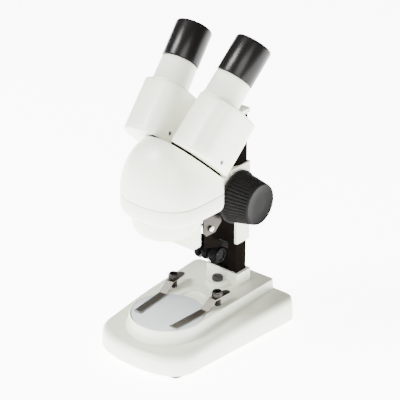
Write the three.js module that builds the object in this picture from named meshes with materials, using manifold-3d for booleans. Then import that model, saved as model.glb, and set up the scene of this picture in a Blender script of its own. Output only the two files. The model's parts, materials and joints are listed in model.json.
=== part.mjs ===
// A stereo microscope for hobby and school use: two inclined eyepieces on swinging prism housings,
// a fixed-power head on a rack-and-pinion carriage, a column, and a stepped base with a stage plate.
//
// Millimetres, +Z up, +Y to the back, +X to the right of someone facing the front of the stand.
// The origin is on the table, in the middle of the base. Most dimensions below are measured from
// the column's axis, which stands COLUMN_Y behind the origin.

import * as THREE from "three";
import { mergeVertices } from "three/addons/utils/BufferGeometryUtils.js";
import Module from "manifold-3d";

const wasm = await Module();
wasm.setup();

// ---------------------------------------------------------------- driving dimensions

const GAP = 0.3; // clearance between pieces that touch
const COLUMN_Y = 50.6; // column axis behind the middle of the base

const base = {
  front: -124.6,
  rear: 23.4,
  halfWidth: 55.2, // at the column; the sides widen towards the back
  flare: 0.08, // growth of the half width per millimetre towards the back
  rearCorner: 9,
  frontStart: -95, // where the rounded front begins
  frontPower: 2.45, // squareness of the rounded front
  skirt: 3, // height of the skirt's lower edge
  ledgeRear: 23.2,
  ledgeFront: 19.4,
  wall: 2.6,
};
const platform = { top: 31.8, halfWidth: 31.6, wall: 2.4 };
const stage = { y: -77.4, radius: 30, thickness: 3, seat: 30.1 };
const clip = {
  x: 23.7,
  y: -43.1,
  z: 38.9,
  width: 7.2,
  thickness: 0.8,
  tail: 14.5, // from the screw to the rounded end
  reach: 53, // from the screw to the tip over the plate
  headTop: 45.2,
};
const column = { width: 28.6, depth: 12.8, bottom: 14, top: 185.4 };
const socket = { halfWidth: 17.2, front: -8.4, back: 9.5, top: 43.2 };
const lightSwitch = { y: -14, radius: 4.7, bossRadius: 10, bossTop: 34.8, top: 39.4 };
const carriage = { halfWidth: 16.3, halfDepth: 8.5, cheekFront: -17, bottom: 71.4, top: 142.2 };
const pinion = { y: -10.6, z: 117.2, teeth: 12, pitchRadius: 4.5, addendum: 0.6, length: 8 };
const knob = { inner: 17.4, outer: 42, innerRadius: 22.6, outerRadius: 17.5, ribs: 24 };
const head = {
  y: -77.4, // the optical axis, above the middle of the stage plate
  halfWidth: 36.6,
  depth: 32.4,
  power: 2.4, // squareness of the rounded front
  rear: -47.5,
  bottom: 123.4,
  seam: 140,
  domeHeight: 50,
  wall: 2.4,
};
const shroud = { radius: 28, bottom: 108, guardFront: -66, guardRear: -55.6, guardBottom: 89 };
const objective = { tilt: 5, radius: 5.4, bottom: 78, top: 100 }; // heights above the stage plate
const optics = {
  lean: THREE.MathUtils.degToRad(42.96), // the eye tubes lean back
  splay: THREE.MathUtils.degToRad(4.99), // and apart
  footX: 21.7, // where a tube axis meets the underside of its housing
  footY: -75.4,
  footZ: 178.2,
  pivotX: 2.2, // the housing's pivot, from the tube axis
  pivotY: 17,
};
const housing = { inner: 18, outer: 22.2, front: 15.6, back: 37.2, corner: 14.4, height: 47.5, wall: 2.2 };
const tube = { top: 68.7, radius: 15.2, bore: 12.9 };
const eyepiece = { bottom: 69, top: 100.7, radius: 15.4, barrel: 12.5, bore: 10.3 };
const lamp = {
  y: -23.8,
  z: 66,
  radius: 8,
  halfLength: 11.7,
  fins: 3,
  pivotY: -38.1,
  pivotZ: 96.6,
  bracket: 109.8, // height of the bracket's plate
  bracketRear: -24.2,
  bracketThickness: 1.8,
};

// ---------------------------------------------------------------- materials

const finish = (color, roughness, metalness = 0) => () =>
  new THREE.MeshStandardMaterial({ color, roughness, metalness });
const whitePlastic = finish(0xf0f0e6, 0.4);
const greyPlastic = finish(0x9a9c9a, 0.6);
const blackPlastic = finish(0x45464a, 0.5);
const blackPaint = finish(0x221f1d, 0.35);
const steel = finish(0xa39b93, 0.3, 1);
const darkSteel = finish(0x5a5552, 0.35, 1);
const brass = finish(0xc8a050, 0.3, 1);
const rubber = finish(0x1c1c1c, 0.9);
const glass = finish(0xcfe0e8, 0.05);
const opal = finish(0xdce0e2, 0.25);

// ---------------------------------------------------------------- solids

// A closed geometry as a manifold-3d solid, with its faces turned outwards.
function solid(geometry) {
  const bare = geometry.index ? geometry.toNonIndexed() : geometry.clone();
  bare.deleteAttribute("normal");
  bare.deleteAttribute("uv");
  const merged = mergeVertices(bare, 1e-4);
  const p = merged.attributes.position;
  const tri = Array.from(merged.index.array);
  const [a, b, c] = [new THREE.Vector3(), new THREE.Vector3(), new THREE.Vector3()];
  let volume = 0;
  for (let i = 0; i < tri.length; i += 3) {
    a.fromBufferAttribute(p, tri[i]);
    b.fromBufferAttribute(p, tri[i + 1]);
    c.fromBufferAttribute(p, tri[i + 2]);
    volume += a.dot(b.cross(c));
  }
  if (volume < 0) tri.reverse();
  const mesh = { numProp: 3, vertProperties: p.array, triVerts: new Uint32Array(tri) };
  return new wasm.Manifold(new wasm.Mesh(mesh));
}

function geometryOf(manifold) {
  const mesh = manifold.getMesh();
  const geometry = new THREE.BufferGeometry();
  geometry.setAttribute("position", new THREE.BufferAttribute(mesh.vertProperties, 3));
  geometry.setIndex(new THREE.BufferAttribute(mesh.triVerts, 1));
  geometry.computeVertexNormals();
  return geometry;
}

// A box between two corners.
function block([x0, y0, z0], [x1, y1, z1]) {
  const g = new THREE.BoxGeometry(x1 - x0, y1 - y0, z1 - z0);
  return solid(g.translate((x0 + x1) / 2, (y0 + y1) / 2, (z0 + z1) / 2));
}

// A profile of [radius, height] pairs turned about Z; the pairs run up the outside, closing on the
// axis, or up the outside and down the inside of a ring.
function turned(profile, x = 0, y = 0, segments = 24) {
  const points = profile.map(([r, z]) => new THREE.Vector2(r, z));
  if (profile[0][0] > 0) points.push(points[0].clone());
  const g = new THREE.LatheGeometry(points, segments).rotateX(Math.PI / 2);
  return solid(g.translate(x, y, 0));
}

function rod(radius, z0, z1, x = 0, y = 0, segments = 20) {
  return turned([[0, z0], [radius, z0], [radius, z1], [0, z1]], x, y, segments);
}

function ring(outer, inner, z0, z1, x = 0, y = 0, segments = 24) {
  return turned([[outer, z0], [outer, z1], [inner, z1], [inner, z0]], x, y, segments);
}

// The same solids with their axis along X instead of Z, the axis at height z and depth y.
const alongX = (s, y, z) => s.rotate([0, 90, 0]).translate([0, y, z]);

// A skin over rings of points, all with the same number of points, closed by a fan at each end.
function loft(rings) {
  const n = rings[0].length;
  const centre = (r) => r.reduce((s, v) => s.add(v), new THREE.Vector3()).divideScalar(n);
  const points = [...rings.flat(), centre(rings[0]), centre(rings[rings.length - 1])];
  const index = [];
  for (let k = 0; k + 1 < rings.length; k++)
    for (let i = 0; i < n; i++) {
      const [a, b] = [k * n + i, k * n + ((i + 1) % n)];
      index.push(a, b, b + n, a, b + n, a + n);
    }
  const last = (rings.length - 1) * n;
  for (let i = 0; i < n; i++) {
    index.push(rings.length * n, (i + 1) % n, i);
    index.push(rings.length * n + 1, last + i, last + ((i + 1) % n));
  }
  const g = new THREE.BufferGeometry().setFromPoints(points);
  g.setIndex(index);
  return solid(g);
}

const at = (outline, z) => outline.map(([x, y]) => new THREE.Vector3(x, y, z));

// An outline that is the same on both sides of X = 0, from its right half, back to front.
const mirrored = (half) => [...half, ...half.slice(1, -1).reverse().map(([x, y]) => [-x, y])];

// A rounded rectangle from x0 to x1 and y0 to y1, with steps + 1 points on each corner.
function roundedRectangle(x0, x1, y0, y1, radius, steps = 3) {
  const corners = [[x1, y1, 0], [x0, y1, 1], [x0, y0, 2], [x1, y0, 3]];
  return corners.flatMap(([x, y, quarter]) => {
    const cx = x === x1 ? x1 - radius : x0 + radius;
    const cy = y === y1 ? y1 - radius : y0 + radius;
    return Array.from({ length: steps + 1 }, (_, i) => {
      const t = (quarter + i / steps) * (Math.PI / 2);
      return [cx + radius * Math.cos(t), cy + radius * Math.sin(t)];
    });
  });
}

// A plan with a flat back, straight sides and a rounded front, as the base and the head have.
function frontRounded({ side, rear, rearCorner, start, front, power }, steps = 8) {
  const half = [[0, rear]];
  for (let i = 0; i <= 4; i++) {
    const t = (1 - i / 4) * (Math.PI / 2);
    const y = rear - rearCorner + rearCorner * Math.sin(t);
    half.push([side(y) - rearCorner + rearCorner * Math.cos(t), y]);
  }
  const span = rear - rearCorner - start;
  for (let i = 1; i < 4; i++) half.push([side(start + span * (1 - i / 4)), start + span * (1 - i / 4)]);
  for (let i = 0; i <= steps; i++) {
    const t = (i / steps) * (Math.PI / 2);
    const [c, s] = [Math.cos(t) ** (2 / power), Math.sin(t) ** (2 / power)];
    half.push([i === steps ? 0 : side(start) * c, start + (front - start) * s]);
  }
  return mirrored(half);
}

const named = (name, shape, material) => {
  const mesh = new THREE.Mesh(geometryOf(shape.simplify(0.03)), material());
  mesh.name = name;
  return mesh;
};

const SIDES = [["left", -1], ["right", 1]];

// ---------------------------------------------------------------- base

const sideOfBase = (inset) => (y) => base.halfWidth + base.flare * y - inset;

function baseOutline(inset, rearInset = Math.min(inset, 0.8)) {
  return frontRounded({
    side: sideOfBase(inset),
    rear: base.rear - rearInset,
    rearCorner: base.rearCorner - Math.min(inset, 4),
    start: base.frontStart,
    front: base.front + inset,
    power: base.frontPower,
  });
}

// The ledge round the platform falls a little towards the front.
function ledgeHeight(y) {
  const t = THREE.MathUtils.smoothstep(-y, 40, -base.front);
  return base.ledgeRear + (base.ledgeFront - base.ledgeRear) * t;
}

function lowerTier() {
  const edge = [[5.4, 0.7], [2.2, 1.8], [0.6, 4], [0, 6.8]];
  return loft([
    at(baseOutline(0), base.skirt),
    ...edge.map(([drop, inset]) =>
      baseOutline(inset).map(([x, y]) => new THREE.Vector3(x, y, ledgeHeight(y) - drop)),
    ),
  ]);
}

// The platform's plan: straight sides that end in a half circle round the stage plate.
function platformOutline(grow) {
  const rear = base.rear - 0.8;
  const half = [[0, rear]];
  const w = platform.halfWidth;
  for (let i = 0; i <= 3; i++) {
    const t = (1 - i / 3) * (Math.PI / 2);
    half.push([w + grow * 0.5 - 2 + 2 * Math.cos(t), rear - 2 + 2 * Math.sin(t)]);
  }
  const run = rear - 2 - stage.y;
  for (let i = 1; i < 3; i++) half.push([w + grow * (0.5 + i / 6), rear - 2 - (run * i) / 3]);
  for (let i = 0; i <= 10; i++) {
    const t = (i / 10) * (Math.PI / 2);
    half.push([(w + grow) * Math.cos(t), stage.y - (w + grow) * Math.sin(t)]);
  }
  half[half.length - 1][0] = 0;
  return mirrored(half);
}

function raisedPlatform() {
  const top = platform.top;
  const skin = [[15, 3.6], [top - 9, 2.9], [top - 7.2, 1.6], [top - 0.8, 0.3], [top, -0.4]];
  return loft(skin.map(([z, grow]) => at(platformOutline(grow), z)));
}

function socketBlock() {
  const { halfWidth: w, front, back, top } = socket;
  return loft([
    at(roundedRectangle(-w - 0.4, w + 0.4, front - 0.4, back + 0.4, 1.6), 10.2),
    at(roundedRectangle(-w, w, front, back, 1.6), top - 0.8),
    at(roundedRectangle(-w + 0.6, w - 0.6, front + 0.6, back - 0.6, 1.2), top),
  ]);
}

function switchBoss() {
  const { y, bossRadius: r, bossTop: top } = lightSwitch;
  return turned([[0, 29], [r + 0.6, 29], [r, top - 1], [r - 0.9, top], [0, top]], 0, y + 0.5);
}

const SCREW_POSTS = [[-45, -20], [45, -20], [-38, -92], [38, -92]];

function baseShell() {
  const ledge = base.ledgeFront - base.wall;
  const hollow = loft([
    at(baseOutline(base.wall, base.wall), base.skirt - 1),
    at(baseOutline(base.wall + 1, base.wall + 1), ledge),
  ]).add(
    loft([
      at(platformOutline(-platform.wall).map(([x, y]) => [x, Math.min(y, base.rear - 3.4)]), 12),
      at(
        platformOutline(-platform.wall).map(([x, y]) => [x, Math.min(y, base.rear - 3.4)]),
        platform.top - platform.wall,
      ),
    ]),
  );
  let shell = lowerTier().add(raisedPlatform()).subtract(hollow);
  shell = shell.add(socketBlock()).add(switchBoss().subtract(hollow));
  const [low, high] = [platform.top - 6.4, platform.top - 3.3];
  shell = shell.add(ring(stage.radius + 1.3, 26.5, low, high, 0, stage.y, 40));
  SCREW_POSTS.forEach(([x, y]) => {
    shell = shell.add(rod(3.4, 5.6, ledge + 0.6, x, y, 16));
  });

  const { width, depth } = column;
  const seatFloor = platform.top - stage.thickness - GAP;
  const cuts = [
    rod(stage.radius + 0.6, seatFloor, 44, 0, stage.y, 40), // the stage plate's seat
    rod(10.6, stage.seat, 33, 0, stage.y + stage.radius + 1, 28), // finger notch behind the plate
    block([-31, stage.y - 5.5, stage.seat], [-29, stage.y - 2.5, 33]), // slot in the seat's rim
    block(
      [-width / 2 - GAP, -depth / 2 - GAP, column.bottom - GAP],
      [width / 2 + GAP, depth / 2 + GAP, 60],
    ), // the column's socket
    rod(2.8, 0, 20), // the column bolt
    rod(3.4, 20, 44, 0, lightSwitch.y, 20), // the light switch's stem
    ...SCREW_POSTS.map(([x, y]) => rod(1.3, 5, 13, x, y, 12)),
    ...SIDES.map(([, s]) => rod(1.9, 20, 44, s * clip.x, clip.y, 12)),
  ];
  return cuts.reduce((s, cut) => s.subtract(cut), shell);
}

const BAY = { x: 30, y0: -76, y1: -36 };

function bottomCover() {
  const z = base.skirt + 0.2;
  const plate = loft([
    at(baseOutline(base.wall + 1.2, base.wall + 1.2), z),
    at(baseOutline(base.wall + 1.2, base.wall + 1.2), z + 2),
  ]);
  const cuts = [
    block([-BAY.x, BAY.y0, 0], [BAY.x, BAY.y1, 9]),
    ...SCREW_POSTS.map(([x, y]) => rod(1.6, 0, 9, x, y, 12)),
  ];
  return cuts.reduce((s, cut) => s.subtract(cut), plate);
}

function batteryCover() {
  const z = base.skirt + 0.2;
  const plate = block([-BAY.x + GAP, BAY.y0 + GAP, z], [BAY.x - GAP, BAY.y1 - GAP, z + 2]);
  const grips = [-3, 0, 3].map((y) => block([-8, BAY.y0 + 8 + y, z - 1], [8, BAY.y0 + 9.2 + y, z + 0.5]));
  return grips.reduce((s, cut) => s.subtract(cut), plate);
}

function footPad() {
  return turned([[0, 0], [5.4, 0], [6, 0.7], [6, 2.6], [5.2, 2.9], [0, 2.9]], 0, 0, 20);
}

function coverScrew() {
  const slot = block([-4, -0.4, 0], [4, 0.4, 2.2]);
  const profile = [[0, 1.4], [2.6, 1.4], [3, 1.9], [3, 2.9], [1.1, 2.9], [1.1, 11], [0, 11]];
  return turned(profile, 0, 0, 16).subtract(
    slot,
  );
}

function cell() {
  const body = [[0, 0], [6.4, 0], [7.1, 0.8], [7.1, 47.6], [6.4, 48.4], [2.7, 48.4], [2.7, 50], [0, 50]];
  return turned(body, 0, 0, 20);
}

function powerPieces() {
  const group = new THREE.Group();
  [["battery_1", -46], ["battery_2", -62]].forEach(([name, y], i) => {
    const mesh = named(name, cell(), i ? brass : darkSteel);
    mesh.rotation.y = i ? -Math.PI / 2 : Math.PI / 2;
    mesh.position.set(i ? 25 : -25, y, 13);
    group.add(mesh);
  });
  SIDES.forEach(([side, s]) => {
    const mesh = named(`battery_contact_${side}`, block([-0.5, -15.5, -7], [0.5, 15.5, 7]), brass);
    mesh.position.set(s * 26, -54, 13);
    group.add(mesh);
  });
  return group;
}

function basePieces() {
  const group = new THREE.Group();
  group.add(named("base_shell", baseShell(), whitePlastic));
  group.add(named("base_bottom_cover", bottomCover(), greyPlastic));
  group.add(named("battery_cover", batteryCover(), greyPlastic));
  const feet = [
    ["front_left", -35, -108],
    ["front_right", 35, -108],
    ["rear_left", -46, 8],
    ["rear_right", 46, 8],
  ];
  feet.forEach(([name, x, y]) => {
    const mesh = named(`foot_${name}`, footPad(), rubber);
    mesh.position.set(x, y, 0);
    group.add(mesh);
  });
  SCREW_POSTS.forEach(([x, y], i) => {
    const mesh = named(`cover_screw_${i + 1}`, coverScrew(), steel);
    mesh.position.set(x, y, 0);
    group.add(mesh);
  });
  group.add(powerPieces());
  return group;
}

// ---------------------------------------------------------------- stage and clips

function stagePlate() {
  const { radius: r, thickness: t } = stage;
  return turned([[0, 0], [r, 0], [r, t - 0.4], [r - 0.4, t], [0, t]], 0, 0, 48);
}

// A leaf spring: a flat tail round the screw, a steep step down, and a long finger over the plate.
function clipStrip() {
  const t = clip.thickness;
  const low = platform.top + 0.5 - clip.z;
  const tip = [-clip.reach, low + 0.7];
  const line = [[clip.tail, 0], [-5.5, 0], [-15.5, low + 0.1], [-50.5, low - 0.1], tip];
  const under = line.map(([y, z]) => new THREE.Vector2(y, z));
  const over = line.map(([y, z]) => new THREE.Vector2(y, z + t)).reverse();
  const g = new THREE.ExtrudeGeometry(new THREE.Shape([...under, ...over]), {
    depth: clip.width,
    bevelEnabled: false,
  });
  g.applyMatrix4(new THREE.Matrix4().makeBasis(
    new THREE.Vector3(0, 1, 0),
    new THREE.Vector3(0, 0, 1),
    new THREE.Vector3(1, 0, 0),
  ));
  const side = solid(g.translate(-clip.width / 2, 0, 0));
  const w = clip.width / 2;
  const plan = loft([at(clipPlan(w), -20), at(clipPlan(w), 5)]);
  return side.intersect(plan).subtract(rod(1.9, -5, 5, 0, 0, 16));
}

// The strip's outline from above: a round tail and a square-cut tip.
function clipPlan(w) {
  const tail = Array.from({ length: 6 }, (_, i) => {
    const t = (i / 5) * Math.PI;
    return [w * Math.cos(t), clip.tail - w + w * Math.sin(t)];
  });
  return [...tail, [-w, -clip.reach], [w, -clip.reach]];
}

function clipScrew() {
  const head = clip.headTop - clip.z;
  const knurled = Array.from({ length: 28 }, (_, i) => {
    const r = i % 2 ? 4.5 : 4.2;
    const t = (i / 28) * 2 * Math.PI;
    return [r * Math.cos(t), r * Math.sin(t)];
  });
  const grow = (k) => knurled.map(([x, y]) => [x * k, y * k]);
  const cap = loft([
    at(grow(0.9), 1.2),
    at(knurled, 1.6),
    at(knurled, head - 0.5),
    at(grow(0.88), head),
  ]);
  const shank = rod(1.5, -13, 1.3, 0, 0, 12);
  const hex = rod(1.7, head - 1.8, head + 1, 0, 0, 6);
  return cap.add(shank).subtract(hex);
}

// A small compression spring under the clip, wound from square-ended wire.
function clipSpring() {
  const turns = 3;
  const bottom = platform.top + GAP - clip.z;
  const top = -GAP;
  const wire = 0.45;
  const rise = (top - bottom - 2 * wire) / turns;
  const rings = [];
  for (let i = 0; i <= turns * 10; i++) {
    const t = (i / 10) * 2 * Math.PI;
    const out = new THREE.Vector3(Math.cos(t), Math.sin(t), 0);
    const centre = out.clone().multiplyScalar(2.75).setZ(bottom + wire + (rise * i) / 10);
    rings.push(
      Array.from({ length: 4 }, (_, k) => {
        const u = (k / 4) * 2 * Math.PI;
        const p = centre.clone().addScaledVector(out, wire * Math.cos(u));
        return p.setZ(p.z + wire * Math.sin(u));
      }),
    );
  }
  return loft(rings);
}

function stagePieces() {
  const group = new THREE.Group();
  const plate = named("stage_plate", stagePlate(), opal);
  plate.position.set(0, stage.y, platform.top - stage.thickness);
  group.add(plate);
  const turnIn = { left: -6.5, right: 3 }; // how far each clip is swung in over the plate
  SIDES.forEach(([side, s]) => {
    const pieces = new THREE.Group();
    pieces.position.set(s * clip.x, clip.y, clip.z);
    const strip = named(`clip_strip_${side}`, clipStrip(), steel);
    strip.rotation.z = THREE.MathUtils.degToRad(-turnIn[side]);
    pieces.add(strip);
    pieces.add(named(`clip_screw_${side}`, clipScrew(), darkSteel));
    pieces.add(named(`clip_spring_${side}`, clipSpring(), steel));
    group.add(pieces);
  });
  return group;
}

// ---------------------------------------------------------------- column, switch

const pitch = (2 * Math.PI * pinion.pitchRadius) / pinion.teeth;
const pitchLine = pinion.y + pinion.pitchRadius;

// A slab outlined in Y and Z, running along X between -halfWidth and halfWidth.
function acrossX(outline, halfWidth) {
  const g = new THREE.ExtrudeGeometry(new THREE.Shape(outline.map(([y, z]) => new THREE.Vector2(y, z))), {
    depth: 2 * halfWidth,
    bevelEnabled: false,
  });
  const basis = new THREE.Matrix4().makeBasis(
    new THREE.Vector3(0, 1, 0),
    new THREE.Vector3(0, 0, 1),
    new THREE.Vector3(1, 0, 0),
  );
  return solid(g.applyMatrix4(basis).translate(-halfWidth, 0, 0));
}

// The toothed strip let into the column's front, with a gap facing the pinion's tooth at rest.
function rack() {
  const back = -column.depth / 2 + 2.2;
  const tip = pitchLine - pinion.addendum;
  const root = pitchLine + pinion.addendum + 0.35;
  const outline = [];
  for (let i = -23; i < 16; i++) {
    const z = pinion.z + (i + 0.5) * pitch;
    outline.push([root, z - 0.75], [tip, z - 0.25], [tip, z + 0.25], [root, z + 0.75]);
  }
  const [bottom, top] = [outline[0][1] - 0.6, outline[outline.length - 1][1] + 0.6];
  return acrossX([[back, bottom], [root, bottom], ...outline, [root, top], [back, top]], 4.6);
}

function columnBar() {
  const [w, d] = [column.width / 2, column.depth / 2];
  const bar = loft([
    at(roundedRectangle(-w, w, -d, d, 0.7, 1), column.bottom),
    at(roundedRectangle(-w, w, -d, d, 0.7, 1), column.top),
  ]);
  const groove = block([-5, -d - 1, 44], [5, -d + 2.5, column.top + 1]);
  return bar.subtract(groove).subtract(rod(2.3, 0, 32));
}

function columnCap() {
  const [w, d] = [column.width / 2 + 1.6, column.depth / 2 + 1.5];
  const z = column.top + GAP;
  return loft([
    at(roundedRectangle(-w, w, -d, d, 1.4), z),
    at(roundedRectangle(-w, w, -d, d, 1.4), z + 3.2),
    at(roundedRectangle(-w + 0.8, w - 0.8, -d + 0.8, d - 0.8, 1), z + 4),
  ]);
}

function switchKnob() {
  const { radius: r, bossTop, top } = lightSwitch;
  const knurled = Array.from({ length: 28 }, (_, i) => {
    const k = i % 2 ? r : r - 0.3;
    const t = (i / 28) * 2 * Math.PI;
    return [k * Math.cos(t), k * Math.sin(t)];
  });
  const grow = (k) => knurled.map(([x, y]) => [x * k, y * k]);
  const cap = loft([
    at(grow(0.96), bossTop + GAP),
    at(knurled, bossTop + 0.6),
    at(knurled, top - 0.7),
    at(grow(0.86), top),
  ]);
  const pointer = block([-0.4, -4.2, top - 0.4], [0.4, -1.2, top + 1]);
  return cap.add(rod(3, 27.4, bossTop + 0.5, 0, 0, 16)).subtract(pointer);
}

function columnPieces() {
  const group = new THREE.Group();
  group.add(named("column", columnBar(), blackPaint));
  group.add(named("rack", rack(), darkSteel));
  group.add(named("column_cap", columnCap(), whitePlastic));
  const bolt = turned([[0, 6], [4, 6], [4, 9.5], [2.2, 9.5], [2.2, 30], [0, 30]], 0, 0, 16);
  group.add(named("column_bolt", bolt.subtract(rod(1.8, 5, 8, 0, 0, 6)), steel));
  const dial = named("light_switch", switchKnob(), blackPlastic);
  dial.position.y = lightSwitch.y;
  group.add(dial);
  const body = block([-6, -20, 19], [6, -9.6, 27]);
  group.add(named("switch_body", body, blackPlastic));
  return group;
}

// ---------------------------------------------------------------- carriage and focus drive

const BEARING_HALF = 17; // how far the pinion's bearing block reaches above and below the pinion

// A sleeve round the column's back and sides, with two cheeks that reach forward beside the pinion.
function carriageSleeve() {
  const { halfWidth: w, halfDepth: d, cheekFront, bottom, top } = carriage;
  const sleeve = loft([
    at(roundedRectangle(-w, w, -d, d, 1.2), bottom),
    at(roundedRectangle(-w, w, -d, d, 1.2), top),
  ]);
  const cheeks = loft([
    at(roundedRectangle(-w, w, cheekFront, 0, 1.2), pinion.z - BEARING_HALF),
    at(roundedRectangle(-w, w, cheekFront, 0, 1.2), top),
  ]);
  const inner = column.width / 2 + GAP;
  const cuts = [
    block([-inner, -column.depth / 2 - GAP, 0], [inner, column.depth / 2 + GAP, 200]),
    block([-13.4, -20, 0], [13.4, -column.depth / 2, 200]),
    alongX(rod(3.1, -20, 20), pinion.y, pinion.z),
  ];
  return cuts.reduce((s, cut) => s.subtract(cut), sleeve.add(cheeks));
}

// The black plate that closes the sleeve's front, with the pinion's bearing block on it.
function pinionPlate() {
  const { bottom, top, halfDepth, cheekFront } = carriage;
  const skin = 0.7; // of the plate in front of the rack's slot
  const plate = block([-13.1, -halfDepth, bottom + 0.3], [13.1, -column.depth / 2 - 0.4, top - 0.3]);
  const bearing = loft([
    at(roundedRectangle(-13.1, 13.1, cheekFront, -halfDepth + 0.5, 1.5), pinion.z - BEARING_HALF),
    at(roundedRectangle(-13.1, 13.1, cheekFront, -halfDepth + 0.5, 1.5), top - 0.6),
  ]);
  const cuts = [
    block([-5, -halfDepth + skin, 0], [5, 0, 200]),
    alongX(rod(5.9, -4.6, 4.6), pinion.y, pinion.z),
    alongX(rod(3.1, -20, 20), pinion.y, pinion.z),
  ];
  return cuts.reduce((s, cut) => s.subtract(cut), plate.add(bearing));
}

function pinionGear() {
  const { teeth, pitchRadius: r, addendum: a, length } = pinion;
  const outline = [];
  for (let i = 0; i < teeth; i++) {
    const t = (i / teeth) * 2 * Math.PI;
    const step = [[-0.95, r - a - 0.35], [-0.28, r + a], [0.28, r + a], [0.95, r - a - 0.35]];
    step.forEach(([w, radius]) => {
      const u = t + w / radius;
      outline.push([radius * Math.cos(u), radius * Math.sin(u)]);
    });
  }
  const gear = acrossX(outline, length / 2);
  return gear.subtract(alongX(rod(2.65, -20, 20), 0, 0));
}

// A tapered grip with lengthwise ribs, a flange against the carriage and a shallow dished face.
function focusKnob() {
  const { inner, outer, innerRadius, outerRadius, ribs } = knob;
  const ribbed = (radius, depth) =>
    Array.from({ length: ribs * 2 }, (_, i) => {
      const t = (i / (ribs * 2)) * 2 * Math.PI;
      const r = i % 2 ? radius : radius - depth;
      return [r * Math.cos(t), r * Math.sin(t)];
    });
  const grip = innerRadius - 1.1;
  const body = loft([
    at(ribbed(innerRadius, 0), inner),
    at(ribbed(innerRadius, 0), inner + 2),
    at(ribbed(grip, 0.7), inner + 2.2),
    at(ribbed(outerRadius, 0.6), outer - 1.2),
    at(ribbed(outerRadius - 0.9, 0), outer),
  ]);
  const dish = rod(outerRadius - 2.2, outer - 0.6, outer + 2, 0, 0, 40);
  return body.subtract(dish).subtract(rod(2.65, 0, outer - 4));
}

function focusPieces() {
  const group = new THREE.Group();
  group.position.set(0, pinion.y, pinion.z);
  const shaft = alongX(rod(2.5, -knob.outer + 4.5, knob.outer - 4.5), 0, 0);
  group.add(named("focus_shaft", shaft, steel));
  group.add(named("focus_pinion", pinionGear(), brass));
  SIDES.forEach(([side, s]) => {
    const mesh = named(`focus_knob_${side}`, focusKnob(), blackPlastic);
    mesh.rotation.y = (s * Math.PI) / 2;
    group.add(mesh);
  });
  return group;
}

function carriagePieces() {
  const group = new THREE.Group();
  group.add(named("carriage_sleeve", carriageSleeve(), whitePlastic));
  group.add(named("pinion_plate", pinionPlate(), blackPaint));
  group.add(focusPieces());
  return group;
}

// ---------------------------------------------------------------- head

function headOutline(inset, scale = 1) {
  const w = head.halfWidth * scale - inset;
  return frontRounded(
    {
      side: () => w,
      rear: head.rear - inset,
      rearCorner: Math.max(1, Math.min(5, w * 0.3) - inset * 0.5),
      start: head.y,
      front: head.y - head.depth * scale + inset,
      power: head.power,
    },
    8,
  );
}

function lowerShell() {
  const z = head.bottom;
  const skin = loft([
    at(headOutline(5.6), z),
    at(headOutline(2.4), z + 1),
    at(headOutline(0.5), z + 3.6),
    at(headOutline(0), z + 7),
    at(headOutline(0), head.seam - GAP / 2),
  ]);
  const hollow = loft([
    at(headOutline(head.wall + 3), z + head.wall),
    at(headOutline(head.wall), z + 7),
    at(headOutline(head.wall), head.seam + 1),
  ]);
  const hole = rod(objective.radius + GAP, 0, 120, 0, 0, 20);
  const cuts = [hollow, ...SIDES.map(([, s]) => objectiveFrame(hole, s))];
  return cuts.reduce((s, cut) => s.subtract(cut), skin);
}

// Places a solid built round Z in the frame of one objective, which tilts towards the stage's middle.
function objectiveFrame(shape, s) {
  return shape.rotate([0, s * objective.tilt, 0]).translate([0, stage.y, platform.top]);
}

function domeSkin(inset) {
  const levels = [0, 12, 23, 33, 41, 46.5];
  const rings = levels.map((h) => {
    const scale = Math.sqrt(1 - (h / head.domeHeight) ** 2);
    return at(headOutline(inset, scale), head.seam + GAP / 2 + h * (1 - inset / head.domeHeight));
  });
  return loft(rings);
}

// The half space under one sloping facet of the head's roof, lowered by drop.
function underFacet(s, drop) {
  const slab = block([-200, -200, -300], [200, 200, -drop]);
  const degrees = THREE.MathUtils.radToDeg;
  return slab
    .rotate([0, degrees(s * optics.splay), 0])
    .rotate([-degrees(optics.lean), 0, 0])
    .translate([s * optics.footX, optics.footY, optics.footZ]);
}

function headDome() {
  const roof = 0.6;
  const outer = SIDES.reduce((d, [, s]) => d.intersect(underFacet(s, roof)), domeSkin(0));
  const hollow = SIDES.reduce(
    (d, [, s]) => d.intersect(underFacet(s, roof + head.wall)),
    domeSkin(head.wall),
  ).add(loft([at(headOutline(head.wall), head.seam - 2), at(headOutline(head.wall), head.seam + 1)]));
  const degrees = THREE.MathUtils.radToDeg;
  const ports = SIDES.map(([, s]) =>
    rod(7.5, -20, 20, s * optics.pivotX, optics.pivotY, 20)
      .rotate([0, degrees(s * optics.splay), 0])
      .rotate([-degrees(optics.lean), 0, 0])
      .translate([s * optics.footX, optics.footY, optics.footZ]),
  );
  return [hollow, ...ports].reduce((d, cut) => d.subtract(cut), outer);
}

// The solid neck between the head's flat back and the carriage's cheeks.
function headArm() {
  const w = carriage.halfWidth;
  const plan = (half) => roundedRectangle(-half, half, head.rear + GAP, carriage.cheekFront - GAP, 2, 2);
  const [z0, z1] = [lamp.bracket + lamp.bracketThickness + 0.7, head.seam];
  return loft([at(plan(w - 1), z0), at(plan(w), z0 + 1.4), at(plan(w), z1 - 1.4), at(plan(w - 1), z1)]);
}

const guardPlan = (grow) =>
  roundedRectangle(-18 - grow, 18 + grow, shroud.guardFront - grow, shroud.guardRear + grow, 2 + grow, 2);

// The round cup under the head, open below, which hides the upper ends of the objectives.
function objectiveShroud() {
  const { radius: r, bottom: z } = shroud;
  const top = head.bottom - GAP;
  const cup = turned(
    [[r - 4, z], [r - 1.6, z + 2], [r - 0.3, z + 6.5], [r, top], [r - 2, top], [r - 6, z]],
    0,
    head.y,
    36,
  );
  return cup.subtract(loft([at(guardPlan(GAP), 60), at(guardPlan(GAP), 150)]));
}

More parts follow.
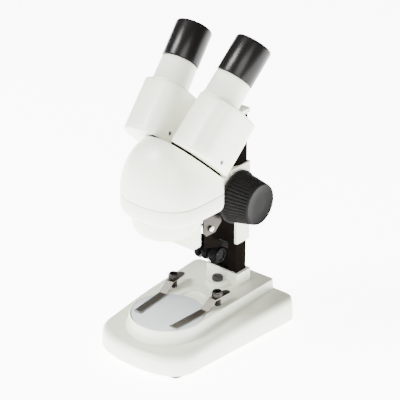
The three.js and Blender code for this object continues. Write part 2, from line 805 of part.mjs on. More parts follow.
function objectiveGuard() {
  return loft([
    at(guardPlan(-0.8), shroud.guardBottom),
    at(guardPlan(0), shroud.guardBottom + 0.8),
    at(guardPlan(0), head.bottom - GAP),
  ]);
}

function objectivePieces() {
  const group = new THREE.Group();
  const { radius: r, bottom, top } = objective;
  SIDES.forEach(([side, s]) => {
    const frame = new THREE.Group();
    frame.position.set(0, stage.y, platform.top);
    frame.rotation.y = s * THREE.MathUtils.degToRad(objective.tilt);
    const barrel = turned([
      [r - 0.5, bottom], [r, bottom + 0.5], [r, top], [r - 1.4, top], [r - 1.4, bottom + 4],
      [r - 0.9, bottom + 4], [r - 0.9, bottom],
    ], 0, 0, 20);
    frame.add(named(`objective_barrel_${side}`, barrel, darkSteel));
    const lens = [[0, 0.6], [2.6, 0.8], [r - 1.2, 1.4], [r - 1.2, 3.2], [0, 3.2]];
    const shape = turned(lens.map(([x, z]) => [x, z + bottom + 0.4]), 0, 0, 20);
    frame.add(named(`objective_lens_${side}`, shape, glass));
    group.add(frame);
  });
  return group;
}

function headPieces() {
  const group = new THREE.Group();
  group.add(named("head_lower_shell", lowerShell(), whitePlastic));
  group.add(named("head_dome", headDome(), whitePlastic));
  group.add(named("head_arm", headArm(), whitePlastic));
  group.add(named("objective_shroud", objectiveShroud(), whitePlastic));
  group.add(named("objective_guard", objectiveGuard(), whitePlastic));
  group.add(objectivePieces());
  return group;
}

// ---------------------------------------------------------------- prism housings and eyepieces

// The plan of a housing round the tube's axis; outwards is +X on the right one, -X on the left.
function housingPlan(s, inset) {
  const { inner, outer, front, back, corner } = housing;
  const [x0, x1] = s > 0 ? [-inner, outer] : [-outer, inner];
  return roundedRectangle(x0 + inset, x1 - inset, -front + inset, back - inset, corner - inset * 0.6, 5);
}

function prismHousing(s) {
  const h = housing.height;
  const skin = loft([
    at(housingPlan(s, 1.4), 0),
    at(housingPlan(s, 0.3), 0.7),
    at(housingPlan(s, 0), 2),
    at(housingPlan(s, 0.6), h - 1.2),
    at(housingPlan(s, 1.6), h),
  ]);
  const hollow = loft([
    at(housingPlan(s, housing.wall), housing.wall),
    at(housingPlan(s, housing.wall + 1), h - housing.wall),
  ]);
  const port = rod(7.5, -5, 10, s * optics.pivotX, optics.pivotY, 20);
  return skin.subtract(hollow).subtract(port).subtract(rod(tube.bore, 20, 80, 0, 0, 24));
}

// A Porro prism: a right-angled wedge with its edge across the housing.
function prism(s) {
  const wedge = acrossX([[-10, 0], [20, 0], [5, 15]], 8);
  return wedge.translate([s * 1.2, 3, 6]);
}

function grubScrew() {
  const body = rod(1.6, -1, 1.2, 0, 0, 16);
  return body.subtract(rod(0.8, 0.3, 2, 0, 0, 6));
}

function eyeTube() {
  const z = housing.height + GAP;
  const { radius: r, bore, top } = tube;
  return turned([[r + 0.4, z], [r + 0.4, z + 1], [r - 0.5, top], [bore, top], [bore, z]], 0, 0, 32);
}

// The eyepiece: a sleeve that drops into the tube, and a wider body with a rounded eye end.
function eyepieceBody() {
  const { bottom, top, radius: r, barrel, bore } = eyepiece;
  return turned([
    [barrel, 54], [barrel, bottom], [r, bottom], [r, top - 1.4], [r - 1.4, top], [r - 3, top],
    [bore, top - 4.5], [bore, 54],
  ], 0, 0, 32);
}

function eyeLens() {
  const r = eyepiece.bore - GAP;
  const z = eyepiece.top - 11;
  return turned([[0, z], [r, z + 1], [r, z + 4.5], [r * 0.6, z + 5.8], [0, z + 6.2]], 0, 0, 24);
}

function opticsPieces() {
  const group = new THREE.Group();
  const grubs = { left: [housing.inner - 0.6, 1, 9.5], right: [housing.outer - 0.6, 12, 7] };
  SIDES.forEach(([side, s]) => {
    const frame = new THREE.Group();
    frame.position.set(s * optics.footX, optics.footY, optics.footZ);
    frame.rotation.set(-optics.lean, s * optics.splay, 0);
    const [gx, gy, gz] = grubs[side];
    const socketHole = rod(1.9, -6, 4, 0, 0, 16).rotate([0, 90, 0]).translate([gx, gy, gz]);
    const shell = prismHousing(s).subtract(socketHole);
    frame.add(named(`prism_housing_${side}`, shell, whitePlastic));
    frame.add(named(`prism_${side}`, prism(s), glass));
    const grub = named(`grub_screw_${side}`, grubScrew(), steel);
    grub.position.set(gx - 0.9, gy, gz);
    grub.rotation.y = Math.PI / 2;
    frame.add(grub);
    frame.add(named(`eye_tube_${side}`, eyeTube(), whitePlastic));
    frame.add(named(`eyepiece_${side}`, eyepieceBody(), blackPaint));
    frame.add(named(`eye_lens_${side}`, eyeLens(), glass));
    group.add(frame);
  });
  return group;
}

// ---------------------------------------------------------------- lamp

// A bent sheet under the neck: a plate with a tab turned down on each side to carry the pivot.
function lampBracket() {
  const { pivotY: y, pivotZ: z, bracket: top, bracketRear: rear } = lamp;
  const front = head.rear + 1;
  const plan = roundedRectangle(-16, 16, front, rear, 2, 2);
  const plate = loft([at(plan, top), at(plan, top + lamp.bracketThickness)]);
  const tab = acrossX(
    [[front, top + 1], [front, z - 1], [y - 5, z - 5.4], [y + 6, z - 5.4], [rear, z + 1], [rear, top + 1]],
    0.6,
  ).translate([11.6, 0, 0]);
  return plate
    .add(tab)
    .add(tab.mirror([1, 0, 0]))
    .subtract(alongX(rod(1.9, -30, 30, 0, 0, 16), y, z));
}

// Two black straps that hang from the pivot screw and bend back to a cross bar over the lamp.
function lampYoke() {
  const y = lamp.y - lamp.pivotY;
  const z = lamp.z + lamp.radius + 1.2 - lamp.pivotZ;
  const hanger = [[y + 4, z + 2], [y + 4, z], [y - 5, z]];
  const outline = [[-4.6, 1], [4.2, 1], [3.6, -11], ...hanger, [-4.6, z + 4.5]];
  const strap = acrossX(outline, 0.6);
  const eye = alongX(rod(4.4, -0.6, 0.6, 0, 0, 20), 0, 0);
  const side = strap.add(eye).translate([10, 0, 0]);
  const bar = block([-10.6, y - 4, z - 0.6], [10.6, y + 4, z + 0.6]);
  return side.add(side.mirror([1, 0, 0])).add(bar).subtract(alongX(rod(1.9, -30, 30, 0, 0, 16), 0, 0));
}

function pivotScrew() {
  const shape = turned(
    [[0, -13.6], [1.6, -13.6], [1.6, 12.5], [3.2, 12.5], [3.2, 13.6], [2.4, 14.6], [0, 14.6]],
    0,
    0,
    20,
  );
  return alongX(shape, lamp.pivotY, lamp.pivotZ);
}

// A drum with deep fins, its axis along X; the light window is cut into its underside.
function lampDrum() {
  const { radius: r, halfLength, fins } = lamp;
  const step = (2 * halfLength) / fins;
  const profile = [[0, -halfLength], [r - 2, -halfLength]];
  for (let i = 0; i < fins; i++) {
    const x = i * step - halfLength;
    profile.push([r - 0.6, x + 0.5], [r, x + 1.6], [r, x + step - 3.2], [r - 1.8, x + step - 2]);
    if (i < fins - 1) profile.push([r - 1.8, x + step - 0.2]);
  }
  profile.push([r - 2, halfLength], [0, halfLength]);
  return alongX(turned(profile, 0, 0, 20), 0, 0).subtract(lampWindowBlank(GAP));
}

const WINDOW_TILT = 58; // degrees below the horizontal that the window faces, towards the stage

function lampWindowBlank(grow) {
  return block([-8 - grow, -12, -3 - grow], [8 + grow, -5.2 + grow, 3 + grow]).rotate([WINDOW_TILT, 0, 0]);
}

function lampWindow() {
  const reach = alongX(rod(lamp.radius - 0.9, -30, 30, 0, 0, 28), 0, 0);
  return lampWindowBlank(0).intersect(reach);
}

function lampPieces() {
  const group = new THREE.Group();
  group.add(named("lamp_bracket", lampBracket(), steel));
  group.add(named("lamp_pivot_screw", pivotScrew(), steel));
  const yoke = named("lamp_yoke", lampYoke(), blackPaint);
  yoke.position.set(0, lamp.pivotY, lamp.pivotZ);
  group.add(yoke);
  const drum = new THREE.Group();
  drum.position.set(0, lamp.y, lamp.z);
  drum.add(named("lamp_drum", lampDrum(), blackPlastic));
  drum.add(named("lamp_window", lampWindow(), opal));
  group.add(drum);
  return group;
}

// ---------------------------------------------------------------- the microscope

const microscope = new THREE.Group();
microscope.position.y = COLUMN_Y;
microscope.add(basePieces(), stagePieces(), columnPieces(), carriagePieces());
microscope.add(headPieces(), opticsPieces(), lampPieces());

const model = new THREE.Group();
model.add(microscope);
export default model;
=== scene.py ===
"""Looks for the stereo microscope: every CAD node is either given a finish and softened edges, or is
replaced by a finer piece on the same body. Shapes are worked out in millimetres from the column's axis
and stored in metres."""

import json
import math

import bmesh
import bpy
from mathutils import Matrix, Vector


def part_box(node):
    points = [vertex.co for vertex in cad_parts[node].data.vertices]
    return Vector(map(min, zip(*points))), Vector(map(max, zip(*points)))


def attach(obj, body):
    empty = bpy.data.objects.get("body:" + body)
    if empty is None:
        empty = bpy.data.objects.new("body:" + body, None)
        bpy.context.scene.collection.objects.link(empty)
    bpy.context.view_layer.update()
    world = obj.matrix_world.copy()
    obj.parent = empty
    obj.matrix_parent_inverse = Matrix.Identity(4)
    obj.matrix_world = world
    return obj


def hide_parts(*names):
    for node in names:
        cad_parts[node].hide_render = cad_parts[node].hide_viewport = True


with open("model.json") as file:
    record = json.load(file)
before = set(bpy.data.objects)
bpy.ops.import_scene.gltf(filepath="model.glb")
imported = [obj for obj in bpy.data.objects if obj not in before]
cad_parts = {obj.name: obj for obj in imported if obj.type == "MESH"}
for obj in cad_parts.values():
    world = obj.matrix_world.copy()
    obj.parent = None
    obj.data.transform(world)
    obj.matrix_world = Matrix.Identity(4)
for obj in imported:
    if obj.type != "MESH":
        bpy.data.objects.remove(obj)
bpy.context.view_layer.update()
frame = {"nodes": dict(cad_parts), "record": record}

MM = 0.001
GAP = 0.3  # between neighbouring pieces, in millimetres
TAU = 2 * math.pi


def centre_of(node):
    low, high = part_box(node)
    return (Vector(low) + Vector(high)) / 2


COLUMN = Vector((centre_of("column").x, centre_of("column").y, 0))


def joint(name):
    return next(j for j in frame["record"]["behaviour"]["joints"] if j["name"] == name)


# ------------------------------------------------------------------ materials


def node_setter(tree):
    """Adds a shader node of a kind with its inputs set by name."""

    def add(kind, **inputs):
        node = tree.nodes.new(kind)
        for key, value in inputs.items():
            node.inputs[key.replace("_", " ")].default_value = value
        return node

    return add


def blend_colors(tree, factor, first, second):
    """A colour mix; first and second are colours or the outputs of other nodes."""
    mix = tree.nodes.new("ShaderNodeMix")
    mix.data_type = "RGBA"
    sockets = [s for s in mix.inputs if s.type == "RGBA"]
    for socket, value in zip(sockets, (first, second)):
        if isinstance(value, bpy.types.NodeSocket):
            tree.links.new(value, socket)
        else:
            socket.default_value = (*value, 1)
    tree.links.new(factor, mix.inputs[0])
    return next(s for s in mix.outputs if s.type == "RGBA")


def finish_material(
    name,
    color,
    roughness,
    metallic=0.0,
    grain=900.0,
    grain_depth=0.00002,
    mottling=0.03,
    wear_and_highlight=0.0,
    wear_and_highlight_color=(0.5, 0.5, 0.5),
    stretch=(1, 1, 1),
    coat=0.0,
    spread=0.08,
    specular=0.5,
):
    """A surface with fine grain, slight unevenness of colour and gloss, and lightened convex edges:
    rubbed wear on some finishes, painted highlight on others.
    """
    material = bpy.data.materials.new(name)
    material.use_nodes = True
    tree = material.node_tree
    shader = tree.nodes["Principled BSDF"]
    shader.inputs["Metallic"].default_value = metallic
    shader.inputs["Specular IOR Level"].default_value = specular
    shader.inputs["Coat Weight"].default_value = coat
    shader.inputs["Coat Roughness"].default_value = 0.12
    add, link = node_setter(tree), tree.links.new

    place = tree.nodes.new("ShaderNodeTexCoord")
    mapping = add("ShaderNodeMapping", Scale=stretch)
    link(place.outputs["Object"], mapping.inputs["Vector"])

    cloud = add("ShaderNodeTexNoise", Scale=38.0, Detail=4.0, Roughness=0.6)
    link(mapping.outputs["Vector"], cloud.inputs["Vector"])
    dark = [c * (1 - 2 * mottling) for c in color]
    paint = blend_colors(tree, cloud.outputs["Fac"], dark, color)
    # convex edges are blended towards a lighter colour: rubbed wear on some finishes, painted highlight
    # along rims and ridges on others
    if wear_and_highlight:
        geometry = tree.nodes.new("ShaderNodeNewGeometry")
        edge = add("ShaderNodeMapRange", From_Min=0.54, From_Max=0.62, To_Min=0.0, To_Max=wear_and_highlight)
        link(geometry.outputs["Pointiness"], edge.inputs["Value"])
        paint = blend_colors(tree, edge.outputs["Result"], paint, wear_and_highlight_color)
    link(paint, shader.inputs["Base Color"])

    gloss = add(
        "ShaderNodeMapRange", To_Min=max(0.02, roughness - spread), To_Max=min(1.0, roughness + spread)
    )
    link(cloud.outputs["Fac"], gloss.inputs["Value"])
    link(gloss.outputs["Result"], shader.inputs["Roughness"])

    fine = add("ShaderNodeTexNoise", Scale=grain, Detail=3.0, Roughness=0.6)
    link(mapping.outputs["Vector"], fine.inputs["Vector"])
    bump = add("ShaderNodeBump", Strength=0.6, Distance=grain_depth)
    link(fine.outputs["Fac"], bump.inputs["Height"])
    link(bump.outputs["Normal"], shader.inputs["Normal"])
    return material


def clear_material(name, color, roughness=0.02, coat=0.6):
    material = bpy.data.materials.new(name)
    material.use_nodes = True
    tree = material.node_tree
    shader = tree.nodes["Principled BSDF"]
    shader.inputs["Transmission Weight"].default_value = 0.9
    shader.inputs["IOR"].default_value = 1.5
    shader.inputs["Coat Weight"].default_value = coat
    shader.inputs["Coat Tint"].default_value = (0.55, 0.75, 0.95, 1)
    add, link = node_setter(tree), tree.links.new
    place = tree.nodes.new("ShaderNodeTexCoord")
    haze = add("ShaderNodeTexNoise", Scale=160.0, Detail=3.0)
    link(place.outputs["Object"], haze.inputs["Vector"])
    amount = add("ShaderNodeMapRange", To_Min=roughness, To_Max=roughness + 0.05)
    link(haze.outputs["Fac"], amount.inputs["Value"])
    link(amount.outputs["Result"], shader.inputs["Roughness"])
    tint = blend_colors(tree, haze.outputs["Fac"], color, [min(1, c * 1.06) for c in color])
    link(tint, shader.inputs["Base Color"])
    return material


WHITE = finish_material(
    "white_shell", (0.765, 0.78, 0.655), 0.36, grain=1500, grain_depth=0.000012, mottling=0.008,
    coat=0.2
)
ENAMEL = finish_material(
    "white_enamel", (0.75, 0.755, 0.64), 0.28, grain=700, grain_depth=0.00002, mottling=0.01, coat=0.2
)
BLACK_ENAMEL = finish_material(
    "black_enamel", (0.006, 0.0048, 0.004), 0.3, grain=800, grain_depth=0.00002, mottling=0.1,
    specular=0.0
)
EYEPIECE_BLACK = finish_material(
    "eyepiece_black", (0.005, 0.0043, 0.004), 0.3, grain=1300, grain_depth=0.00001, mottling=0.1,
    wear_and_highlight=0.1, wear_and_highlight_color=(0.05, 0.05, 0.05), specular=0.2
)
# the lightened rib crests and face rim of the focus knobs are painted highlight
KNOB_GREY = finish_material(
    "knob_grey", (0.012, 0.0117, 0.0115), 0.42, grain=1900, grain_depth=0.00003, mottling=0.08,
    wear_and_highlight=0.6, wear_and_highlight_color=(0.08, 0.08, 0.08), specular=0.02
)
SWITCH_GREY = finish_material(
    "switch_grey", (0.03, 0.0295, 0.029), 0.4, grain=1900, grain_depth=0.00003, mottling=0.08,
    specular=0.15
)
# the lightened fin edges, also on the rack that shares this finish, are painted highlight on black
LAMP_BLACK = finish_material(
    "lamp_black", (0.004, 0.004, 0.0042), 0.22, grain=1200, grain_depth=0.00001, mottling=0.1,
    wear_and_highlight=0.4, wear_and_highlight_color=(0.08, 0.08, 0.08), specular=0.015
)
UNDERSIDE_GREY = finish_material(
    "underside_grey", (0.24, 0.24, 0.235), 0.6, grain=1700, grain_depth=0.00005, mottling=0.05
)
BRUSHED = finish_material(
    "brushed_steel", (0.25, 0.225, 0.2), 0.34, 1.0, grain=2600, grain_depth=0.000012, mottling=0.12,
    stretch=(1, 0.05, 1), wear_and_highlight=0.35, wear_and_highlight_color=(0.6, 0.57, 0.52), spread=0.12
)
# the lightened knurl ridges and screw edges are partly rubbed wear and partly painted highlight
SCREW_STEEL = finish_material(
    "screw_steel", (0.04, 0.037, 0.035), 0.26, 1.0, grain=1500, grain_depth=0.00001, mottling=0.15,
    wear_and_highlight=0.6, wear_and_highlight_color=(0.4, 0.38, 0.36)
)
SPRING_STEEL = finish_material(
    "spring_steel", (0.05, 0.046, 0.042), 0.28, 1.0, grain=1500, grain_depth=0.000008, mottling=0.12
)
BRIGHT_STEEL = finish_material(
    "bright_steel", (0.68, 0.66, 0.63), 0.2, 1.0, grain=1500, grain_depth=0.000008, mottling=0.06
)
BRACKET_STEEL = finish_material(
    "bracket_steel", (0.02, 0.0157, 0.0127), 0.3, 1.0, grain=1900, grain_depth=0.000012, mottling=0.2,
    stretch=(0.06, 1, 1), wear_and_highlight=0.15, wear_and_highlight_color=(0.3, 0.26, 0.22)
)
BRASS = finish_material(
    "brass", (0.72, 0.50, 0.20), 0.25, 1.0, grain=1400, grain_depth=0.00001, mottling=0.12
)
CELL_WRAP = finish_material(
    "cell_wrap", (0.05, 0.12, 0.16), 0.35, 0.3, grain=900, grain_depth=0.00001, mottling=0.1
)
RUBBER = finish_material(
    "rubber", (0.01, 0.01, 0.01), 0.8, grain=1600, grain_depth=0.00006, mottling=0.12
)
ANODISED = finish_material(
    "anodised", (0.03, 0.03, 0.032), 0.35, 0.8, grain=1900, grain_depth=0.00001, mottling=0.1
)
FROSTED = finish_material(
    "frosted_plate", (0.68, 0.73, 0.76), 0.22, grain=2400, grain_depth=0.000006, mottling=0.015,
    coat=0.4, spread=0.05
)
LENS = clear_material("coated_glass", (0.90, 0.95, 0.97))
WINDOW = clear_material("lamp_glass", (0.6, 0.58, 0.54), roughness=0.2, coat=0.0)


# ------------------------------------------------------------------ shapes


def new_object(name, bm):
    mesh = bpy.data.meshes.new(name)
    bm.to_mesh(mesh)
    bm.free()
    obj = bpy.data.objects.new(name, mesh)
    bpy.context.scene.collection.objects.link(obj)
    return obj


def place(obj, matrix):
    """Moves the vertices, so that every object's own frame stays the shared frame."""
    obj.data.transform(matrix)
    return obj


TO_COLUMN = Matrix.Translation(COLUMN)  # for shapes that are drawn about the column's axis


def loft(name, rings):
    """A closed skin over rings of (x, y, z) in millimetres."""
    bm = bmesh.new()
    loops = [[bm.verts.new(Vector(p) * MM) for p in ring] for ring in rings]
    count = len(rings[0])
    for low, high in zip(loops, loops[1:]):
        for i in range(count):
            j = (i + 1) % count
            bm.faces.new((low[i], low[j], high[j], high[i]))
    bm.faces.new(list(reversed(loops[0])))
    bm.faces.new(loops[-1])
    bmesh.ops.recalc_face_normals(bm, faces=bm.faces)
    return new_object(name, bm)


def turned(name, profile, segments=96, scallop=None):
    """A solid of (radius, height) pairs about Z, in millimetres.

    scallop(angle, radius, height) may change the radius.
    """
    bm = bmesh.new()
    loops = []
    for radius, height in profile:
        if radius < 1e-6:
            loops.append([bm.verts.new((0, 0, height * MM))])
            continue
        ring = []
        for i in range(segments):
            t = TAU * i / segments
            r = scallop(t, radius, height) if scallop else radius
            ring.append(bm.verts.new((r * math.cos(t) * MM, r * math.sin(t) * MM, height * MM)))
        loops.append(ring)
    pairs = list(zip(loops, loops[1:]))
    if len(loops[0]) > 1 and len(loops[-1]) > 1:
        pairs.append((loops[-1], loops[0]))
    for low, high in pairs:
        for i in range(segments):
            j = (i + 1) % segments
            corners = [low[i % len(low)], low[j % len(low)], high[j % len(high)], high[i % len(high)]]
            unique = [v for k, v in enumerate(corners) if v not in corners[:k]]
            if len(unique) > 2:
                bm.faces.new(unique)
    bmesh.ops.recalc_face_normals(bm, faces=bm.faces)
    return new_object(name, bm)


def block(name, low, high):
    bm = bmesh.new()
    bmesh.ops.create_cube(bm, size=1)
    for v in bm.verts:
        v.co = Vector([(low[i] + high[i]) / 2 + v.co[i] * (high[i] - low[i]) for i in range(3)]) * MM
    return new_object(name, bm)


def combine(obj, other, how):
    """Joins, cuts or crosses obj with another object, which is used up."""
    modifier = obj.modifiers.new("cut", "BOOLEAN")
    modifier.operation = how
    modifier.solver = "EXACT"
    modifier.object = other
    graph = bpy.context.evaluated_depsgraph_get()
    mesh = bpy.data.meshes.new_from_object(obj.evaluated_get(graph))
    obj.modifiers.clear()
    obj.data = mesh
    bpy.data.objects.remove(other)
    return obj


def soften(obj, width, segments, angle):
    """Rounds the sharp edges and shades the rest smoothly."""
    for polygon in obj.data.polygons:
        polygon.use_smooth = True
    bevel = obj.modifiers.new("edges", "BEVEL")
    bevel.width = width * MM
    bevel.segments = segments
    bevel.limit_method = "ANGLE"
    bevel.angle_limit = math.radians(angle)
    bevel.use_clamp_overlap = True
    bevel.harden_normals = True
    return obj


def smooth(obj, angle=35):
    for polygon in obj.data.polygons:
        polygon.use_smooth = True
    obj.data.set_sharp_from_angle(angle=math.radians(angle))
    return obj


def piece(obj, body, material, slot, *nodes):
    """Gives a finished piece its material, its body, and the CAD nodes that it stands for."""
    obj.data.materials.clear()
    obj.data.materials.append(material)
    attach(obj, body)
    if nodes:
        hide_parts(*nodes)
    return obj


def mirrored(half):
    """The whole outline, from the half with x above zero and its two end points on the middle line."""
    return half + [(-x, y) for x, y in reversed(half[1:-1])]


def front_rounded(side, rear, rear_corner, start, front, power, steps=36):
    """A plan with a flat back, straight sides and a rounded front."""
    half = [(0.0, rear)]
    for i in range(9):
        t = (1 - i / 8) * math.pi / 2
        y = rear - rear_corner + rear_corner * math.sin(t)
        half.append((side(y) - rear_corner + rear_corner * math.cos(t), y))
    span = rear - rear_corner - start
    for i in range(1, 12):
        y = start + span * (1 - i / 12)
        half.append((side(y), y))
    for i in range(steps + 1):
        t = i / steps * math.pi / 2
        c, s = math.cos(t) ** (2 / power), math.sin(t) ** (2 / power)
        half.append((0.0 if i == steps else side(start) * c, start + (front - start) * s))
    return mirrored(half)


def rounded_rectangle(x0, x1, y0, y1, radius, steps=10):
    points = []
    for x, y, quarter in ((x1, y1, 0), (x0, y1, 1), (x0, y0, 2), (x1, y0, 3)):
        cx = x1 - radius if x == x1 else x0 + radius
        cy = y1 - radius if y == y1 else y0 + radius
        for i in range(steps + 1):
            t = (quarter + i / steps) * math.pi / 2
            points.append((cx + radius * math.cos(t), cy + radius * math.sin(t)))
    return points


def level(outline, z):
    return [(x, y, z) for x, y in outline]


def fillet(radius, z, steps=7):
    """(inset, height) pairs of a quarter round that ends flush at height z."""
    return [
        (radius * (1 - math.sin(t)), z + radius * (math.cos(t) - 1))
        for t in (math.pi / 2 * (1 - i / steps) for i in range(steps + 1))
    ]


def smoothstep(x, low, high):
    t = min(1, max(0, (x - low) / (high - low)))
    return t * t * (3 - 2 * t)


# ------------------------------------------------------------------ base

BASE_FRONT, BASE_REAR, BASE_HALF, BASE_FLARE = -124.6, 23.4, 55.2, 0.08
LEDGE_REAR, LEDGE_FRONT, SKIRT = 23.2, 19.4, 3.0
PLATE_Y, PLATFORM_TOP, PLATFORM_HALF = -77.4, 31.8, 31.6
SWITCH_SEAT = 35.1  # underside of the switch's grip, above the table


def base_outline(inset, rear_inset=None):
    rear = min(inset, 0.8) if rear_inset is None else rear_inset
    return front_rounded(
        lambda y: BASE_HALF + BASE_FLARE * y - inset, BASE_REAR - rear, 9 - min(inset, 4), -95,
        BASE_FRONT + inset, 2.45
    )


def ledge_height(y):
    return LEDGE_REAR + (LEDGE_FRONT - LEDGE_REAR) * smoothstep(-y, 40, -BASE_FRONT)


def platform_outline(grow):
    rear = BASE_REAR - 0.8
    half = [(0.0, rear)]
    for i in range(7):
        t = (1 - i / 6) * math.pi / 2
        half.append((PLATFORM_HALF + grow * 0.5 - 2 + 2 * math.cos(t), rear - 2 + 2 * math.sin(t)))
    run = rear - 2 - PLATE_Y
    for i in range(1, 12):
        half.append((PLATFORM_HALF + grow * (0.5 + i / 24), rear - 2 - run * i / 12))
    for i in range(41):
        t = i / 40 * math.pi / 2
        x = 0.0 if i == 40 else (PLATFORM_HALF + grow) * math.cos(t)
        half.append((x, PLATE_Y - (PLATFORM_HALF + grow) * math.sin(t)))
    return mirrored(half)


def make_base():
    edge = [
        (6.2, 0.55), (4.6, 0.85), (3.2, 1.35), (2.1, 2.0), (1.25, 2.8), (0.6, 3.9), (0.2, 5.2),
        (0.0, 6.8)
    ]
    rings = [
        level(base_outline(0.5), SKIRT), level(base_outline(0.1), SKIRT + 0.4),
        level(base_outline(0), SKIRT + 1)
    ]
    for drop, inset in edge:
        rings.append([(x, y, ledge_height(y) - drop) for x, y in base_outline(inset)])
    base = loft("base", rings)

    top = PLATFORM_TOP
    skin = [
        (14, 3.8), (19, 3.4), (21.5, 3.15), (22.6, 2.8), (23.4, 2.3), (24.2, 1.75), (25.4, 1.3),
        (27.4, 0.9), (29.6, 0.55), (top - 0.9, 0.3), (top - 0.35, 0.08), (top, -0.4)
    ]
    combine(base, loft("platform", [level(platform_outline(g), z) for z, g in skin]), "UNION")

    w, front, back, high = 17.2, -8.4, 9.5, 43.2
    socket = [(-0.9, 28), (-0.45, 32.2), (-0.2, 33.2), (0, 34.6)] + fillet(0.9, high)
    rings = [level(rounded_rectangle(-w + i, w - i, front + i, back - i, 1.6), z) for i, z in socket]
    combine(base, loft("socket", rings), "UNION")
    boss = turned(
        "boss",
        [(0, 29), (10.9, 29), (10.5, 32.1), (10.1, 32.7), (10, 33.8), (9.8, 34.4), (9.2, 34.8), (0, 34.8)]
    )
    combine(base, place(boss, Matrix.Translation((0, -13.5 * MM, 0))), "UNION")

    seat = turned(
        "seat",
        [
            (0, PLATFORM_TOP - 3.3), (30.5, PLATFORM_TOP - 3.3), (30.5, 31.2), (31.2, 32.2),
            (31.2, 44), (0, 44)
        ],
        128
    )
    combine(base, place(seat, Matrix.Translation((0, PLATE_Y * MM, 0))), "DIFFERENCE")
    notch = turned("notch", [(0, 30.1), (9.9, 30.1), (10.6, 31.0), (10.9, 33), (0, 33)], 64)
    combine(base, place(notch, Matrix.Translation((0, (PLATE_Y + 31) * MM, 0))), "DIFFERENCE")
    combine(base, block("slot", (-31.2, PLATE_Y - 5.5, 30.1), (-29, PLATE_Y - 2.5, 33)), "DIFFERENCE")
    combine(base, block("bore", (-14.5, -6.6, 20), (14.5, 6.6, 60)), "DIFFERENCE")
    for x, y, radius in ((0, -14, 3.4), (-23.7, -43.1, 1.9), (23.7, -43.1, 1.9)):
        hole = turned("hole", [(0, 20), (radius, 20), (radius, 44), (0, 44)], 32)
        combine(base, place(hole, Matrix.Translation((x * MM, y * MM, 0))), "DIFFERENCE")
    hollow = loft("hollow", [level(base_outline(2.8, 2.8), 0), level(base_outline(3.6, 3.6), 15.4)])
    combine(base, hollow, "DIFFERENCE")
    place(base, TO_COLUMN)
    soften(base, 0.35, 3, 40)
    piece(base, "base", WHITE, "white_shell", "base_shell")


def make_stage_plate():
    low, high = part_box("stage_plate")
    t = (high[2] - low[2]) / MM
    plate = turned(
        "stage_disc",
        [(0, 0), (29.6, 0), (30, 0.4), (30, t - 0.5), (29.85, t - 0.2), (29.5, t), (0, t)], 128
    )
    middle = centre_of("stage_plate")
    place(plate, Matrix.Translation((middle.x, middle.y, low[2])))
    piece(smooth(plate), "base", FROSTED, "opal", "stage_plate")


def knurl(count, depth):
    return lambda t, r, z: r - depth * (0.5 + 0.5 * math.cos(count * t)) if r > 3.9 else r


def make_clip_screw(side):
    middle = centre_of(f"clip_screw_{side}")
    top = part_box(f"clip_screw_{side}")[1][2] / MM
    seat = joint(f"clip_swing_{side}")["pos_m"][2] / MM
    ridged = knurl(30, 0.32)
    profile = [
        (0, seat - 13), (1.5, seat - 13), (1.5, seat + 1.2), (3.9, seat + 1.2), (4.4, seat + 1.6),
        (4.48, seat + 2), (4.5, top - 1.7), (4.35, top - 1.3), (3.85, top - 1.15), (3.8, top - 0.9),
        (3.8, top - 0.25), (3.5, top), (0, top)
    ]
    screw = turned(f"clip_thumbscrew_{side}", profile, 180, ridged)
    socket = turned("hex", [(0, top - 2), (1.75, top - 2), (1.75, top + 1), (0, top + 1)], 6)
    combine(screw, socket, "DIFFERENCE")
    place(screw, Matrix.Translation((middle.x, middle.y, 0)))
    piece(soften(screw, 0.12, 2, 45), "base", SCREW_STEEL, "dark_steel", f"clip_screw_{side}")


def make_clip_spring(side):
    low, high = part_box(f"clip_spring_{side}")
    middle = centre_of(f"clip_spring_{side}")
    wire, radius, coils, steps, sides = 0.42, 2.75, 3.5, 30, 10
    bottom, top = low[2] / MM + wire, high[2] / MM - wire
    rings = []
    total = int(coils * steps)
    for i in range(total + 1):
        t = TAU * i / steps
        out = Vector((math.cos(t), math.sin(t), 0))
        z = bottom + (top - bottom) * i / total
        ring = []
        for k in range(sides):
            turn = TAU * k / sides
            rise = Vector((0, 0, z + wire * math.sin(turn)))
            ring.append(tuple(out * (radius + wire * math.cos(turn)) + rise))
        rings.append(ring)
    spring = place(loft(f"clip_coil_{side}", rings), Matrix.Translation((middle.x, middle.y, 0)))
    piece(smooth(spring, 60), "base", SPRING_STEEL, "steel", f"clip_spring_{side}")


def make_switch():
    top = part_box("light_switch")[1][2] / MM
    z = SWITCH_SEAT
    profile = [
        (0, z - 7.7), (3, z - 7.7), (3, z), (4.4, z), (4.65, z + 0.35), (4.7, top - 0.9),
        (4.45, top - 0.45), (4.0, top - 0.3), (3.9, top - 0.25), (3.6, top - 0.05), (3.2, top),
        (0, top)
    ]

    def ribbed(t, r, z):
        return r - 0.4 * (0.5 + 0.5 * math.cos(22 * t)) if r > 4.3 else r

    knob = turned("switch_knob", profile, 192, ribbed)
    combine(knob, block("pointer", (-0.35, -3.4, top - 0.5), (0.35, -1.0, top + 1)), "DIFFERENCE")
    middle = centre_of("light_switch")
    place(knob, Matrix.Translation((middle.x, middle.y, 0)))
    piece(soften(knob, 0.1, 2, 50), "light_switch", SWITCH_GREY, "black_plastic", "light_switch")


def make_feet():
    for name in ("front_left", "front_right", "rear_left", "rear_right"):
        middle = centre_of(f"foot_{name}")
        profile = [
            (0, 0.5), (2.6, 0.5), (2.9, 0), (5.0, 0), (5.6, 0.25), (5.95, 0.9), (6, 2.2), (5.7, 2.8),
            (5.2, 2.9), (0, 2.9)
        ]
        foot = place(
            turned(f"rubber_foot_{name}", profile, 64), Matrix.Translation((middle.x, middle.y, 0))
        )
        piece(smooth(foot), "base", RUBBER, "rubber", f"foot_{name}")


# ------------------------------------------------------------------ focus knobs and switch


